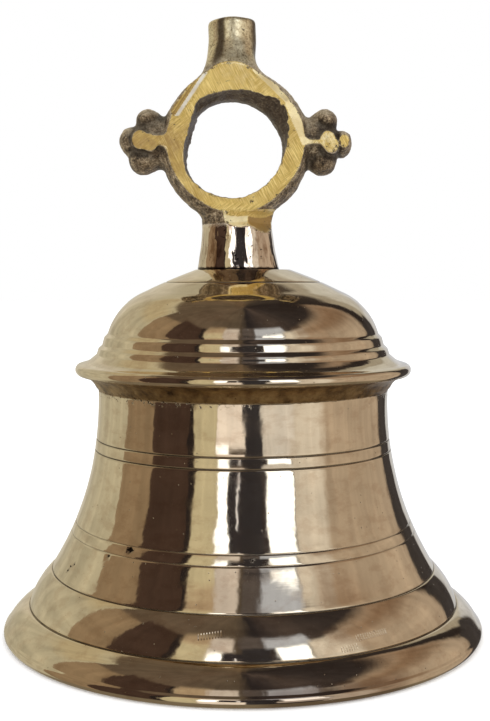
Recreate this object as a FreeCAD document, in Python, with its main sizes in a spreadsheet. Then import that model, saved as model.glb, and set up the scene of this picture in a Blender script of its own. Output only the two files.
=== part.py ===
"""Hanging temple bell of cast and turned brass, with its crown ring and its hung clapper.

Millimetres, +Z up. The origin is on the bell's axis in the plane of the mouth, so the bell stands on its rim.
The hole of the hanging ring runs along Y and the two trefoil buds point along X.
Every driving dimension is a named cell of the sheet "Dims"; sketches and features are bound to those cells.
"""
import FreeCAD, Part
import math
import os
import re
import Sketcher
from FreeCAD import Placement, Rotation, Vector

DIMENSIONS = [
    # the shell's outside, from the mouth up: radius from the axis and height above the mouth
    ("rim_inner_radius", 93.4, "inner edge of the flat rim"),
    ("rim_flat_radius", 97.6, "where the flat of the rim turns into the bead"),
    ("rim_bead", 2.4, "radius of the bead round the rim"),
    ("bead_end_radius", 98.9, "where the bead meets the lip"),
    ("bead_end_height", 4.4, ""),
    ("lip_curve", 18.6, "radius of the lip's bulging section"),
    ("lip_line_radius", 89.5, "engraved line between lip and roll"),
    ("lip_line_height", 13.0, ""),
    ("roll_curve", 34.0, "radius of the roll's bulging section"),
    ("roll_line_radius", 80.1, "engraved line between roll and waist"),
    ("roll_line_height", 27.2, ""),
    ("waist_curve", 132.7, "radius of the waist's hollow section"),
    ("waist_top_radius", 60.4, "top corner of the waist"),
    ("waist_top_height", 100.9, ""),
    ("cove_foot_radius", 61.5, "foot of the cove under the flange"),
    ("cove_foot_height", 102.2, ""),
    ("cove_curve", 7.7, "radius of the cove"),
    ("flange_under_radius", 67.6, "where the cove meets the rounded flange edge"),
    ("flange_under_height", 106.9, ""),
    ("flange_edge", 2.4, "radius of the rounded flange edge"),
    ("flange_top_radius", 68.4, "where the flange edge meets its hollow top"),
    ("flange_top_height", 111.5, ""),
    ("flange_hollow", 10.0, "radius of the flange's hollow top"),
    ("low_step_radius", 62.5, "outer and inner edge of the lowest of three steps"),
    ("low_step_height", 114.3, ""),
    ("low_band_radius", 61.0, ""),
    ("low_band_height", 115.5, ""),
    ("mid_step_radius", 60.2, "outer and inner edge of the middle step"),
    ("mid_step_height", 118.0, ""),
    ("mid_band_radius", 58.7, ""),
    ("mid_band_height", 119.3, ""),
    ("high_step_radius", 57.8, "outer and inner edge of the highest step"),
    ("high_step_height", 122.6, ""),
    ("dome_foot_radius", 56.4, ""),
    ("dome_foot_height", 124.0, ""),
    ("shoulder_curve", 26.5, "radius of the dome's shoulder"),
    ("crest_radius", 40.5, "where the shoulder eases into the crest"),
    ("crest_height", 141.4, ""),
    ("crest_curve", 200.0, "radius of the nearly straight crest"),
    ("seat_radius", 19.5, "flat seat for the crown"),
    ("seat_height", 150.4, ""),
    # the shell's inside, from the top down
    ("bolt_hole_radius", 4.3, "hole for the eyebolt's shank"),
    ("ceiling_height", 145.2, "flat under the dome for nut and washer"),
    ("ceiling_radius", 13.5, ""),
    ("inner_crest_radius", 36.5, ""),
    ("inner_crest_height", 138.2, ""),
    ("inner_crest_curve", 62.0, ""),
    ("inner_dome_radius", 52.0, ""),
    ("inner_dome_height", 120.0, ""),
    ("inner_dome_curve", 25.0, ""),
    ("inner_waist_radius", 55.6, ""),
    ("inner_waist_height", 99.0, ""),
    ("inner_waist_curve", 137.5, ""),
    ("inner_roll_radius", 75.0, ""),
    ("inner_roll_height", 24.0, ""),
    ("inner_lip_radius", 84.3, ""),
    ("inner_lip_height", 10.5, ""),
    # engraved lines
    ("line_cut", 0.4, "radius of the tool that engraves the lines"),
    ("low_pair_radius", 71.72, "lower pair of lines on the waist"),
    ("low_pair_height", 42.5, ""),
    ("low_pair_upper_radius", 70.02, ""),
    ("low_pair_upper_height", 46.5, ""),
    ("high_pair_radius", 61.93, "upper pair of lines on the waist"),
    ("high_pair_height", 76.2, ""),
    ("high_pair_upper_radius", 61.40, ""),
    ("high_pair_upper_height", 80.7, ""),
    ("dome_line_radius", 32.2, "line round the crest"),
    ("dome_line_height", 145.25, ""),
    # crown casting; heights are above its seat, along its own axis
    ("crown_offset", 2.1, "the crown is seated this far to the -X side"),
    ("crown_lean", 1.4, "and leans this many degrees to the -X side"),
    ("foot_radius", 17.0, "foot of the neck"),
    ("foot_edge", 0.9, "half height of the foot's square edge, which is then cut level with the seat"),
    ("neck_radius", 14.4, "narrowest place of the neck"),
    ("neck_height", 19.0, ""),
    ("neck_curve", 93.0, "radius of the neck's hollow section"),
    ("neck_top_radius", 15.2, ""),
    ("neck_top_height", 27.0, "top of the neck, inside the ring"),
    ("ring_height", 49.6, "centre of the ring's hole"),
    ("ring_bore", 21.2, "radius of the ring's hole"),
    ("ring_rise", 0.6, "the ring's outside is this much higher than its hole"),
    ("ring_outer", 30.9, "outer radius of the ring at its middle plane"),
    ("ring_face_outer", 28.0, "outer radius at the rough faces"),
    ("ring_rough", 15.0, "half depth of the ring before its faces are filed"),
    ("ring_core", 15.0, "inner radius of the ring before it is bored"),
    ("filed_depth", 14.0, "half depth between the filed faces"),
    ("filed_from", 167.7, "the file reaches down to this height"),
    ("filed_to", 240.0, ""),
    ("flare_radius", 19.5, "foot of the flare that carries the stub"),
    ("flare_height", 74.5, ""),
    ("flare_curve", 16.0, ""),
    ("stub_radius", 9.9, "cut-off casting stub on top"),
    ("stub_foot_height", 89.0, ""),
    ("stub_edge", 1.3, "rounded edge of the stub's top"),
    ("stub_top_height", 102.3, ""),
    ("bud_rise", 2.6, "the trefoil buds' middle is this much above the hole's centre"),
    ("bud_core_reach", 32.0, "place, radius and rough depth of a bud's middle"),
    ("bud_core_radius", 9.8, ""),
    ("bud_core_depth", 30.0, ""),
    ("lobe_radius", 4.5, "radius, depth and places of its three lobes"),
    ("lobe_depth", 22.0, ""),
    ("side_lobe_reach", 36.5, ""),
    ("side_lobe_rise", 9.1, ""),
    ("end_lobe_reach", 43.2, ""),
    ("thread_hole_radius", 4.0, "blind hole for the eyebolt in the crown's foot"),
    ("thread_hole_depth", 19.0, ""),
    # hardware under the dome
    ("washer_radius", 12.0, ""),
    ("washer_thick", 1.6, ""),
    ("nut_flat", 6.5, "half the width across flats"),
    ("bevel_margin", 1.0, "the tool that bevels a nut's corners runs this far past them"),
    ("nut_thick", 6.5, ""),
    ("shank_radius", 3.95, ""),
    ("shank_top", 168.0, "height of the shank's end inside the crown"),
    ("eye_inner", 5.0, "inner radius of both eyes"),
    ("eye_wire", 2.5, "wire radius of both eyes"),
    ("eye_sink", 1.0, "how deep an eye sinks into its collar"),
    ("bolt_collar_radius", 5.6, "forged collar between eye and shank"),
    ("bolt_collar_thick", 2.1, ""),
    # hung clapper
    ("upper_pivot", 118.5, "height of the middle of the eyebolt's lowest wire"),
    ("lower_pivot", 104.5, "height of the middle of the link's lowest wire"),
    ("link_inner", 5.0, "inner radius of the link's round ends"),
    ("link_wire", 2.2, "wire radius of the link"),
    ("play", 0.3, "gap between wires that hang in one another"),
    ("rod_head_radius", 5.0, "clapper rod where its eye is forged on"),
    ("rod_neck_drop", 9.0, "and how far down it thins"),
    ("rod_radius", 3.3, "clapper rod below its head"),
    ("rod_foot_radius", 3.9, "clapper rod above the ball"),
    ("collar_radius", 5.6, "shoulder that the ball sits against"),
    ("collar_thick", 3.0, ""),
    ("tail_radius", 2.95, "threaded tail through the ball"),
    ("tail_end", 3.4, "height of the tail's end"),
    ("ball_height", 25.0, "centre of the ball"),
    ("ball_radius", 15.0, ""),
    ("ball_flat_top", 39.0, "flat on top of the ball"),
    ("ball_flat_foot", 11.0, "flat under the ball"),
    ("ball_hole", 3.05, ""),
    ("tail_washer_radius", 6.2, ""),
    ("tail_washer_thick", 1.2, ""),
    ("tail_nut_flat", 5.0, ""),
    ("tail_nut_thick", 5.0, ""),
]

HEXAGON_HALF = math.pi / 6

doc = FreeCAD.newDocument("TempleBell")
dims = doc.addObject("Spreadsheet::Sheet", "Dims")


def fill_sheet():
    """One row per driving dimension: what it is, and its value under an alias."""
    for row, (alias, number, meaning) in enumerate(DIMENSIONS, start=1):
        dims.set(f"A{row}", meaning or alias)
        dims.set(f"B{row}", str(number))
        dims.setAlias(f"B{row}", alias)
    doc.recompute()


def terms(formula):
    """Splits a sum such as 'ring_height - ring_bore' into signed names and numbers."""
    return re.findall(r"([+-]?)\s*([a-z_]+|[0-9.]+)", formula)


def amount(formula):
    """What the sum comes to with the sheet's present values."""
    total = 0.0
    for sign, name in terms(formula):
        number = float(name) if name[0].isdigit() else float(dims.get(name))
        total += -number if sign == "-" else number
    return total


def bound(formula):
    """The same sum as an expression on the sheet's cells."""
    words = []
    for sign, name in terms(formula):
        words.append(sign or "+")
        words.append(name if name[0].isdigit() else f"Dims.{name}")
    return " ".join(words[1:] if words[0] == "+" else words)


# ---------------------------------------------------------------- sketches

def plane_of(body, role):
    """One of the body's own origin planes."""
    return next(f for f in body.Origin.OriginFeatures if f.Role == role)


def new_sketch(body, name, role, shift=None, turn=None):
    """A sketch on an origin plane; shift holds expressions for its offset, turn one for its angle."""
    sketch = body.newObject("Sketcher::SketchObject", name)
    sketch.AttachmentSupport = [(plane_of(body, role), "")]
    sketch.MapMode = "FlatFace"
    place_by_sheet(sketch, shift, turn)
    return sketch


def place_by_sheet(feature, shift=None, turn=None):
    """Binds a feature's attachment offset to the sheet."""
    for letter, expression in (shift or {}).items():
        feature.setExpression(f"AttachmentOffset.Base.{letter}", expression)
    if turn:
        feature.AttachmentOffset = Placement(Vector(), Rotation(Vector(0, 0, 1), 1.0))
        feature.setExpression("AttachmentOffset.Rotation.Angle", turn)


def pin_point(sketch, shape, point, across, up):
    """Holds one point of a sketch at two sums of cells, measured from the sketch's origin."""
    for kind, formula, axis in (("DistanceX", across, -2), ("DistanceY", up, -1)):
        distance = amount(formula)
        if formula == "0":
            sketch.addConstraint(Sketcher.Constraint("PointOnObject", shape, point, axis))
        elif distance > 0:
            index = sketch.addConstraint(Sketcher.Constraint(kind, -1, 1, shape, point, distance))
            sketch.setExpression(f"Constraints[{index}]", bound(formula))
        else:
            index = sketch.addConstraint(Sketcher.Constraint(kind, shape, point, -1, 1, -distance))
            sketch.setExpression(f"Constraints[{index}]", f"-({bound(formula)})")


def arc_between(start, end, radius, turns_left):
    """The short arc from start to end; turns_left says on which hand its centre lies."""
    chord = end - start
    half = chord.Length / 2
    toward = Vector(-chord.y, chord.x, 0).normalize() * math.sqrt(radius**2 - half**2)
    centre = (start + end) * 0.5 + (toward if turns_left else -toward)
    first, last = (start, end) if turns_left else (end, start)
    circle = Part.Circle(centre, Vector(0, 0, 1), radius)
    angles = [math.atan2(p.y - centre.y, p.x - centre.x) for p in (first, last)]
    return Part.ArcOfCircle(circle, *angles)


def outline(sketch, steps):
    """A closed outline. Each step is (across, up) for a straight run to that corner, or
    (across, up, radius, "left" or "right") for an arc that turns to that hand on the way there."""
    corners = [Vector(amount(step[0]), amount(step[1]), 0) for step in steps]
    shapes, exits, entries = [], [], []
    for place, step in enumerate(steps):
        start, end = corners[place - 1], corners[place]
        if len(step) == 2:
            shapes.append(sketch.addGeometry(Part.LineSegment(start, end), False))
            entries.append(1)
            exits.append(2)
        else:
            turns_left = step[3] == "left"
            arc = arc_between(start, end, amount(step[2]), turns_left)
            shapes.append(sketch.addGeometry(arc, False))
            entries.append(1 if turns_left else 2)
            exits.append(2 if turns_left else 1)
    for place, step in enumerate(steps):
        before = place - 1
        sketch.addConstraint(Sketcher.Constraint(
            "Coincident", shapes[before], exits[before], shapes[place], entries[place]))
    for place, step in enumerate(steps):
        pin_point(sketch, shapes[place], exits[place], step[0], step[1])
        if len(step) == 4:
            index = sketch.addConstraint(Sketcher.Constraint("Radius", shapes[place], amount(step[2])))
            sketch.setExpression(f"Constraints[{index}]", bound(step[2]))


def circle(sketch, across, up, radius):
    """A circle bound by its centre and radius."""
    middle = Vector(amount(across), amount(up), 0)
    shape = sketch.addGeometry(Part.Circle(middle, Vector(0, 0, 1), amount(radius)), False)
    pin_point(sketch, shape, 3, across, up)
    index = sketch.addConstraint(Sketcher.Constraint("Radius", shape, amount(radius)))
    sketch.setExpression(f"Constraints[{index}]", bound(radius))


# ---------------------------------------------------------------- features

def new_body(label):
    body = doc.addObject("PartDesign::Body", label)
    body.Label = label
    return body


def revolve(body, name, sketch, axis="V_Axis"):
    """Turns a sketch a whole turn round one of its own axes."""
    feature = body.newObject("PartDesign::Revolution", name)
    feature.Profile = sketch
    feature.ReferenceAxis = (sketch, [axis])
    feature.Angle = 360.0
    doc.recompute()


def groove(body, name, sketch, axis="V_Axis"):
    """Cuts a sketch, turned round one of its own axes, out of the body."""
    before = body.Shape.Volume
    feature = body.newObject("PartDesign::Groove", name)
    feature.Profile = sketch
    feature.ReferenceAxis = (sketch, [axis])
    feature.Angle = 360.0
    doc.recompute()
    must_shrink(body, name, before)


def pad(body, name, sketch, length, midplane=False):
    """Pads a sketch upward, or half to each side."""
    feature = body.newObject("PartDesign::Pad", name)
    feature.Profile = sketch
    feature.Midplane = midplane
    feature.setExpression("Length", bound(length))
    doc.recompute()


def cut_through(body, name, sketch):
    """Cuts a sketch through the whole body, both ways."""
    before = body.Shape.Volume
    feature = body.newObject("PartDesign::Pocket", name)
    feature.Profile = sketch
    feature.Midplane = True
    feature.Type = "ThroughAll"
    doc.recompute()
    must_shrink(body, name, before)


def must_shrink(body, name, before):
    if body.Shape.Volume > before - 0.01:
        raise RuntimeError(f"{body.Label}: {name} cuts nothing away")


def drill_up(body, name, sketch, depth):
    """Cuts a blind hole upward from its sketch."""
    before = body.Shape.Volume
    feature = body.newObject("PartDesign::Pocket", name)
    feature.Profile = sketch
    feature.Reversed = True
    feature.setExpression("Length", bound(depth))
    doc.recompute()
    must_shrink(body, name, before)


def hexagon(sketch, half_width):
    """A regular hexagon round the origin with two flats square to the sketch's vertical axis."""
    flat = amount(half_width)
    corner = flat / math.cos(HEXAGON_HALF)
    turns = [2 * k * HEXAGON_HALF for k in range(6)]
    points = [Vector(corner * math.cos(turn), corner * math.sin(turn), 0) for turn in turns]
    sides = [sketch.addGeometry(Part.LineSegment(points[k - 1], points[k]), False) for k in range(6)]
    guide = sketch.addGeometry(Part.Circle(Vector(), Vector(0, 0, 1), corner), True)
    for place, side in enumerate(sides):
        sketch.addConstraint(Sketcher.Constraint("Coincident", sides[place - 1], 2, side, 1))
        sketch.addConstraint(Sketcher.Constraint("PointOnObject", side, 2, guide))
    for side in sides[1:]:
        sketch.addConstraint(Sketcher.Constraint("Equal", sides[0], side))
    sketch.addConstraint(Sketcher.Constraint("Coincident", guide, 3, -1, 1))
    sketch.addConstraint(Sketcher.Constraint("PointOnObject", sides[0], 2, -1))
    index = sketch.addConstraint(Sketcher.Constraint("Radius", guide, corner))
    sketch.setExpression(f"Constraints[{index}]", f"({bound(half_width)}) / cos(30deg)")


# ---------------------------------------------------------------- bell

def make_shell():
    """The bell itself: one turned section with its lip, roll, waist, flange, steps and dome."""
    body = new_body("bell_shell")
    section = new_sketch(body, "shell_section", "XZ_Plane")
    outside = [
        ("rim_flat_radius", "0"),
        ("bead_end_radius", "bead_end_height", "rim_bead", "left"),
        ("lip_line_radius", "lip_line_height", "lip_curve", "left"),
        ("roll_line_radius", "roll_line_height", "roll_curve", "left"),
        ("waist_top_radius", "waist_top_height", "waist_curve", "right"),
        ("cove_foot_radius", "cove_foot_height"),
        ("flange_under_radius", "flange_under_height", "cove_curve", "right"),
        ("flange_top_radius", "flange_top_height", "flange_edge", "left"),
        ("low_step_radius", "low_step_height", "flange_hollow", "right"),
        ("low_band_radius", "low_band_height"),
        ("mid_step_radius", "mid_step_height"),
        ("mid_band_radius", "mid_band_height"),
        ("high_step_radius", "high_step_height"),
        ("dome_foot_radius", "dome_foot_height"),
        ("crest_radius", "crest_height", "shoulder_curve", "left"),
        ("seat_radius", "seat_height", "crest_curve", "left"),
    ]
    inside = [
        ("bolt_hole_radius", "seat_height"),
        ("bolt_hole_radius", "ceiling_height"),
        ("ceiling_radius", "ceiling_height"),
        ("inner_crest_radius", "inner_crest_height", "inner_crest_curve", "right"),
        ("inner_dome_radius", "inner_dome_height", "inner_dome_curve", "right"),
        ("inner_waist_radius", "inner_waist_height"),
        ("inner_roll_radius", "inner_roll_height", "inner_waist_curve", "left"),
        ("inner_lip_radius", "inner_lip_height"),
        ("rim_inner_radius", "0"),
    ]
    outline(section, outside + inside)
    revolve(body, "turned_shell", section)
    lines = new_sketch(body, "engraved_sections", "XZ_Plane")
    circle(lines, "lip_line_radius", "lip_line_height", "line_cut")
    circle(lines, "roll_line_radius", "roll_line_height", "line_cut")
    for place in ("low_pair", "low_pair_upper", "high_pair", "high_pair_upper", "dome_line"):
        circle(lines, f"{place}_radius", f"{place}_height", "line_cut")
    groove(body, "engraved_lines", lines)
    return body


def crown_axis():
    """Offset and angle of a sketch on the XZ plane whose vertical axis is the crown's own axis."""
    return {"x": "-Dims.crown_offset", "y": "Dims.seat_height"}, "Dims.crown_lean"


def from_ring(across, up):
    """Expressions for a place given level and upright from the centre of the ring's hole."""
    lean = "(Dims.crown_lean * 1deg)"
    return {
        "x": f"-Dims.crown_offset - Dims.ring_height * sin{lean} + ({bound(across)})",
        "y": f"Dims.seat_height + Dims.ring_height * cos{lean} + ({bound(up)})",
    }


def bud_part(body, name, across, up, radius, depth):
    """One round part of a trefoil bud, with its axis along Y and half its depth on either side."""
    face = new_sketch(body, f"{name}_face", "XZ_Plane", from_ring(across, up))
    circle(face, "0", "0", radius)
    pad(body, name, face, depth, midplane=True)


def make_crown():
    """The crown casting: neck, hanging ring, stub and two trefoil buds, leaning a little."""
    body = new_body("crown_ring")
    shift, lean = crown_axis()

    neck = new_sketch(body, "neck_section", "XZ_Plane", shift, lean)
    outline(neck, [
        ("0", "-foot_edge"),
        ("foot_radius", "-foot_edge"),
        ("foot_radius", "foot_edge"),
        ("neck_radius", "neck_height", "neck_curve", "right"),
        ("neck_top_radius", "neck_top_height"),
        ("0", "neck_top_height"),
    ])
    revolve(body, "neck", neck)

    centre = from_ring("0", "ring_rise")
    ring = new_sketch(body, "ring_section", "YZ_Plane", {"z": centre["x"], "y": centre["y"]})
    outline(ring, [
        ("-ring_rough", "ring_core"),
        ("ring_rough", "ring_core"),
        ("ring_rough", "ring_face_outer"),
        ("0", "ring_outer"),
        ("-ring_rough", "ring_face_outer"),
    ])
    revolve(body, "ring", ring, "H_Axis")

    stub = new_sketch(body, "stub_section", "XZ_Plane", shift, lean)
    outline(stub, [
        ("0", "flare_height"),
        ("flare_radius", "flare_height"),
        ("stub_radius", "stub_foot_height", "flare_curve", "right"),
        ("stub_radius", "stub_top_height - stub_edge"),
        ("stub_radius - stub_edge", "stub_top_height", "stub_edge", "left"),
        ("0", "stub_top_height"),
    ])
    revolve(body, "stub", stub)

    core = ("bud_core_radius", "bud_core_depth")
    lobe = ("lobe_radius", "lobe_depth")
    for side, sign in (("left", "-"), ("right", "")):
        bud_part(body, f"{side}_bud_core", f"{sign}bud_core_reach", "bud_rise", *core)
        reach = f"{sign}side_lobe_reach"
        bud_part(body, f"{side}_upper_lobe", reach, "bud_rise + side_lobe_rise", *lobe)
        bud_part(body, f"{side}_lower_lobe", reach, "bud_rise - side_lobe_rise", *lobe)
        bud_part(body, f"{side}_end_lobe", f"{sign}end_lobe_reach", "bud_rise", *lobe)

    bore = new_sketch(body, "bore_outline", "XZ_Plane", shift, lean)
    circle(bore, "0", "ring_height", "ring_bore")
    cut_through(body, "ring_bored", bore)

    for side, near, far in (("front", "-filed_depth", "-filed_depth - ring_rough"),
                            ("back", "filed_depth", "filed_depth + ring_rough")):
        waste = new_sketch(body, f"{side}_waste", "YZ_Plane")
        outline(waste, [(near, "filed_from"), (far, "filed_from"), (far, "filed_to"), (near, "filed_to")])
        cut_through(body, f"{side}_filed", waste)

    below = new_sketch(body, "seat_waste", "XZ_Plane")
    outline(below, [
        ("-ring_outer", "seat_height"),
        ("-ring_outer", "crest_height"),
        ("ring_outer", "crest_height"),
        ("ring_outer", "seat_height"),
    ])
    cut_through(body, "foot_levelled", below)

    hole = new_sketch(body, "thread_hole_outline", "XY_Plane", {"z": "Dims.seat_height"})
    circle(hole, "0", "0", "thread_hole_radius")
    drill_up(body, "thread_hole", hole, "thread_hole_depth")
    return body


# ---------------------------------------------------------------- hardware

def make_ring_plate(label, hole, rim, foot, thick):
    """A flat washer that lies with its underside at the height foot."""
    body = new_body(label)
    face = new_sketch(body, f"{label}_face", "XY_Plane", {"z": bound(foot)})
    circle(face, "0", "0", rim)
    circle(face, "0", "0", hole)
    pad(body, f"{label}_plate", face, thick)
    return body


def make_nut(label, hole, half_width, foot, thick):
    """A hexagon nut with its underside at the height foot."""
    body = new_body(label)
    face = new_sketch(body, f"{label}_face", "XY_Plane", {"z": bound(foot)})
    hexagon(face, half_width)
    circle(face, "0", "0", hole)
    pad(body, f"{label}_block", face, thick)
    waste = new_sketch(body, f"{label}_corner_waste", "XZ_Plane")
    corner_waste(waste, half_width, foot, 1)
    corner_waste(waste, half_width, f"{foot} + {thick}", -1)
    groove(body, f"{label}_bevels", waste)
    return body


def corner_waste(sketch, half_width, face, way):
    """A triangle at the height face that, turned round the nut's axis, bevels the corners there.
    It stands on the face and widens upward for way 1, and hangs from it for way -1."""
    flat, level = amount(half_width), amount(face)
    reach = flat / math.cos(HEXAGON_HALF) + amount("bevel_margin")
    tip = level + way * (reach - flat) * math.tan(HEXAGON_HALF)
    points = [Vector(flat, level, 0), Vector(reach, level, 0), Vector(reach, tip, 0)]
    sides = [sketch.addGeometry(Part.LineSegment(points[k - 1], points[k]), False) for k in range(3)]
    for place, side in enumerate(sides):
        sketch.addConstraint(Sketcher.Constraint("Coincident", sides[place - 1], 2, side, 1))
    sketch.addConstraint(Sketcher.Constraint("Horizontal", sides[1]))
    sketch.addConstraint(Sketcher.Constraint("Vertical", sides[2]))
    reach_sum = f"({bound(half_width)}) / cos(30deg) + Dims.bevel_margin"
    tip_sum = f"{bound(face)} + {way} * ({reach_sum} - ({bound(half_width)})) * tan(30deg)"
    distances = (
        ("DistanceX", sides[0], flat, bound(half_width)),
        ("DistanceY", sides[0], level, bound(face)),
        ("DistanceX", sides[1], reach, reach_sum),
        ("DistanceY", sides[2], tip, tip_sum),
    )
    for kind, side, distance, expression in distances:
        index = sketch.addConstraint(Sketcher.Constraint(kind, -1, 1, side, 2, distance))
        sketch.setExpression(f"Constraints[{index}]", expression)


def add_eye(body, name, centre, seam):
    """A ring of round wire in the XZ plane, with its hole along Y. The seam, a sum of cells up from
    the centre, is where the wire closes: on the far side from the shank."""
    wire = new_sketch(body, f"{name}_wire", "YZ_Plane", {"y": bound(centre)})
    circle(wire, "0", seam, "eye_wire")
    revolve(body, name, wire, "H_Axis")


def make_eyebolt():
    """Eyebolt: an eye below, and a shank that passes the nut, the dome and into the crown."""
    body = new_body("clapper_eyebolt")
    add_eye(body, "bolt_eye", "upper_pivot + eye_inner + eye_wire", "-eye_inner - eye_wire")
    shank = new_sketch(body, "shank_section", "XZ_Plane")
    foot = "upper_pivot + eye_inner + eye_wire + eye_inner + eye_wire + eye_wire - eye_sink"
    outline(shank, [
        ("0", foot),
        ("bolt_collar_radius", foot),
        ("bolt_collar_radius", f"{foot} + bolt_collar_thick"),
        ("shank_radius", f"{foot} + bolt_collar_thick"),
        ("shank_radius", "shank_top"),
        ("0", "shank_top"),
    ])
    revolve(body, "shank", shank)
    return body


def make_link():
    """An oval chain link in the YZ plane, hung in the eyebolt's eye."""
    body = new_body("swivel_link")
    middle_radius = "link_inner + link_wire"
    top = "upper_pivot + eye_wire + play - link_inner"
    bottom = f"lower_pivot + {middle_radius}"
    for name, centre, downward in (("top", top, False), ("bottom", bottom, True)):
        wire = new_sketch(body, f"link_{name}_wire", "XY_Plane", {"z": bound(centre)})
        circle(wire, "0", middle_radius, "link_wire")
        bend = body.newObject("PartDesign::Revolution", f"link_{name}")
        bend.Profile = wire
        bend.ReferenceAxis = (wire, ["H_Axis"])
        bend.Angle = 180.0
        bend.Reversed = downward
        doc.recompute()
    sides = new_sketch(body, "link_side_wires", "XY_Plane", {"z": bound(bottom)})
    circle(sides, "0", middle_radius, "link_wire")
    circle(sides, "0", "-link_inner - link_wire", "link_wire")
    straight = "upper_pivot + eye_wire + play - link_inner - lower_pivot - link_inner - link_wire"
    pad(body, "link_sides", sides, straight)
    return body


def make_rod():
    """Clapper rod: eye, tapered rod, collar above the ball and tail through it."""
    body = new_body("clapper_rod")
    centre = "lower_pivot + link_wire + play - eye_inner"
    add_eye(body, "rod_eye", centre, "eye_inner + eye_wire")
    section = new_sketch(body, "rod_section", "XZ_Plane")
    top = f"{centre} - eye_inner - eye_wire - eye_wire + eye_sink"
    outline(section, [
        ("0", "tail_end"),
        ("tail_radius", "tail_end"),
        ("tail_radius", "ball_flat_top"),
        ("collar_radius", "ball_flat_top"),
        ("collar_radius", "ball_flat_top + collar_thick"),
        ("rod_foot_radius", "ball_flat_top + collar_thick + collar_thick"),
        ("rod_radius", f"{top} - rod_neck_drop"),
        ("rod_head_radius", top),
        ("0", top),
    ])
    revolve(body, "rod", section)
    return body


def make_ball():
    """Clapper ball: a turned ball with a flat above and below, and a hole for the rod's tail."""
    body = new_body("clapper_ball")
    section = new_sketch(body, "ball_section", "XZ_Plane")
    radius, rise = amount("ball_radius"), amount("ball_flat_top - ball_height")
    flat = math.sqrt(radius**2 - rise**2)
    middle = Vector(0, amount("ball_height"), 0)
    angle = math.atan2(rise, flat)
    arc = section.addGeometry(
        Part.ArcOfCircle(Part.Circle(middle, Vector(0, 0, 1), radius), -angle, angle), False)
    hole = amount("ball_hole")
    low, high = amount("ball_flat_foot"), amount("ball_flat_top")
    corners = [Vector(flat, high, 0), Vector(hole, high, 0), Vector(hole, low, 0), Vector(flat, low, 0)]
    sides = [section.addGeometry(Part.LineSegment(corners[k], corners[k + 1]), False) for k in range(3)]
    join = Sketcher.Constraint
    section.addConstraint(join("Coincident", arc, 2, sides[0], 1))
    section.addConstraint(join("Coincident", sides[0], 2, sides[1], 1))
    section.addConstraint(join("Coincident", sides[1], 2, sides[2], 1))
    section.addConstraint(join("Coincident", sides[2], 2, arc, 1))
    section.addConstraint(join("Horizontal", sides[0]))
    section.addConstraint(join("Horizontal", sides[2]))
    section.addConstraint(join("Vertical", sides[1]))
    pin_point(section, arc, 3, "0", "ball_height")
    for kind, side, point, formula in (("DistanceX", sides[1], 1, "ball_hole"),
                                       ("DistanceY", sides[1], 1, "ball_flat_top"),
                                       ("DistanceY", sides[1], 2, "ball_flat_foot")):
        index = section.addConstraint(join(kind, -1, 1, side, point, amount(formula)))
        section.setExpression(f"Constraints[{index}]", bound(formula))
    index = section.addConstraint(join("Radius", arc, radius))
    section.setExpression(f"Constraints[{index}]", bound("ball_radius"))
    revolve(body, "turned_ball", section)
    return body


def make_hardware():
    """Everything that is screwed, clamped or hung inside the bell."""
    washer_foot = "ceiling_height - washer_thick"
    tail_washer_foot = "ball_flat_foot - tail_washer_thick"
    return [
        make_ring_plate("seat_washer", "bolt_hole_radius", "washer_radius", washer_foot, "washer_thick"),
        make_nut("clamp_nut", "thread_hole_radius", "nut_flat", f"{washer_foot} - nut_thick", "nut_thick"),
        make_eyebolt(),
        make_link(),
        make_rod(),
        make_ball(),
        make_ring_plate("tail_washer", "ball_hole", "tail_washer_radius", tail_washer_foot,
                        "tail_washer_thick"),
        make_nut("tail_nut", "ball_hole", "tail_nut_flat", f"{tail_washer_foot} - tail_nut_thick",
                 "tail_nut_thick"),
    ]


def check(bodies):
    """Stops before anything is written if an object failed or a sub-part isn't one sound solid."""
    for item in doc.Objects:
        if "Invalid" in item.State or "Error" in item.State:
            raise RuntimeError(f"{item.Label} failed: {item.State}")
    for body in bodies:
        shape = body.Shape
        if shape.isNull() or not shape.isValid() or len(shape.Solids) != 1:
            raise RuntimeError(f"{body.Label} isn't one valid solid")
        box = shape.BoundBox
        print(f"{body.Label:16s} {shape.Volume / 1000:8.2f} cm3   z {box.ZMin:7.2f} to {box.ZMax:7.2f}")


fill_sheet()
pieces = [make_shell(), make_crown(), *make_hardware()]
doc.recompute()
check(pieces)
os.makedirs("parts", exist_ok=True)
for piece in pieces:
    piece.Shape.exportStep(f"parts/{piece.Label}.step")
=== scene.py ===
"""Looks of the hanging temple bell: polished shell, cast crown and the hung clapper.

Metres in Blender; the sizes below are millimetres in the same frame, turned into metres by MM.
"""
import math

import bpy
import numpy as np
from mathutils import Euler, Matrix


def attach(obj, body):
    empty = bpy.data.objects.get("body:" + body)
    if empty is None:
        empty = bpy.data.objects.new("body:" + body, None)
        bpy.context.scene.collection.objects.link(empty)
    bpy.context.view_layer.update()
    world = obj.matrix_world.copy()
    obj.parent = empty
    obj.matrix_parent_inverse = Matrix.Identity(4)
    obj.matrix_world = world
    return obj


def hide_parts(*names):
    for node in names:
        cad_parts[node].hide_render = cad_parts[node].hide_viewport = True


MM = 0.001
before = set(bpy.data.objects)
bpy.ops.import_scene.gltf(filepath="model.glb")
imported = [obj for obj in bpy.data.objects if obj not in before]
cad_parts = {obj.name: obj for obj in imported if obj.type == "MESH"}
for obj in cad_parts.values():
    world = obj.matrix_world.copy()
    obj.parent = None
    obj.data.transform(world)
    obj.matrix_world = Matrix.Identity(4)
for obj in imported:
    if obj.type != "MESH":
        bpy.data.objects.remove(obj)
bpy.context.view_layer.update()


# ------------------------ outlines

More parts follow.
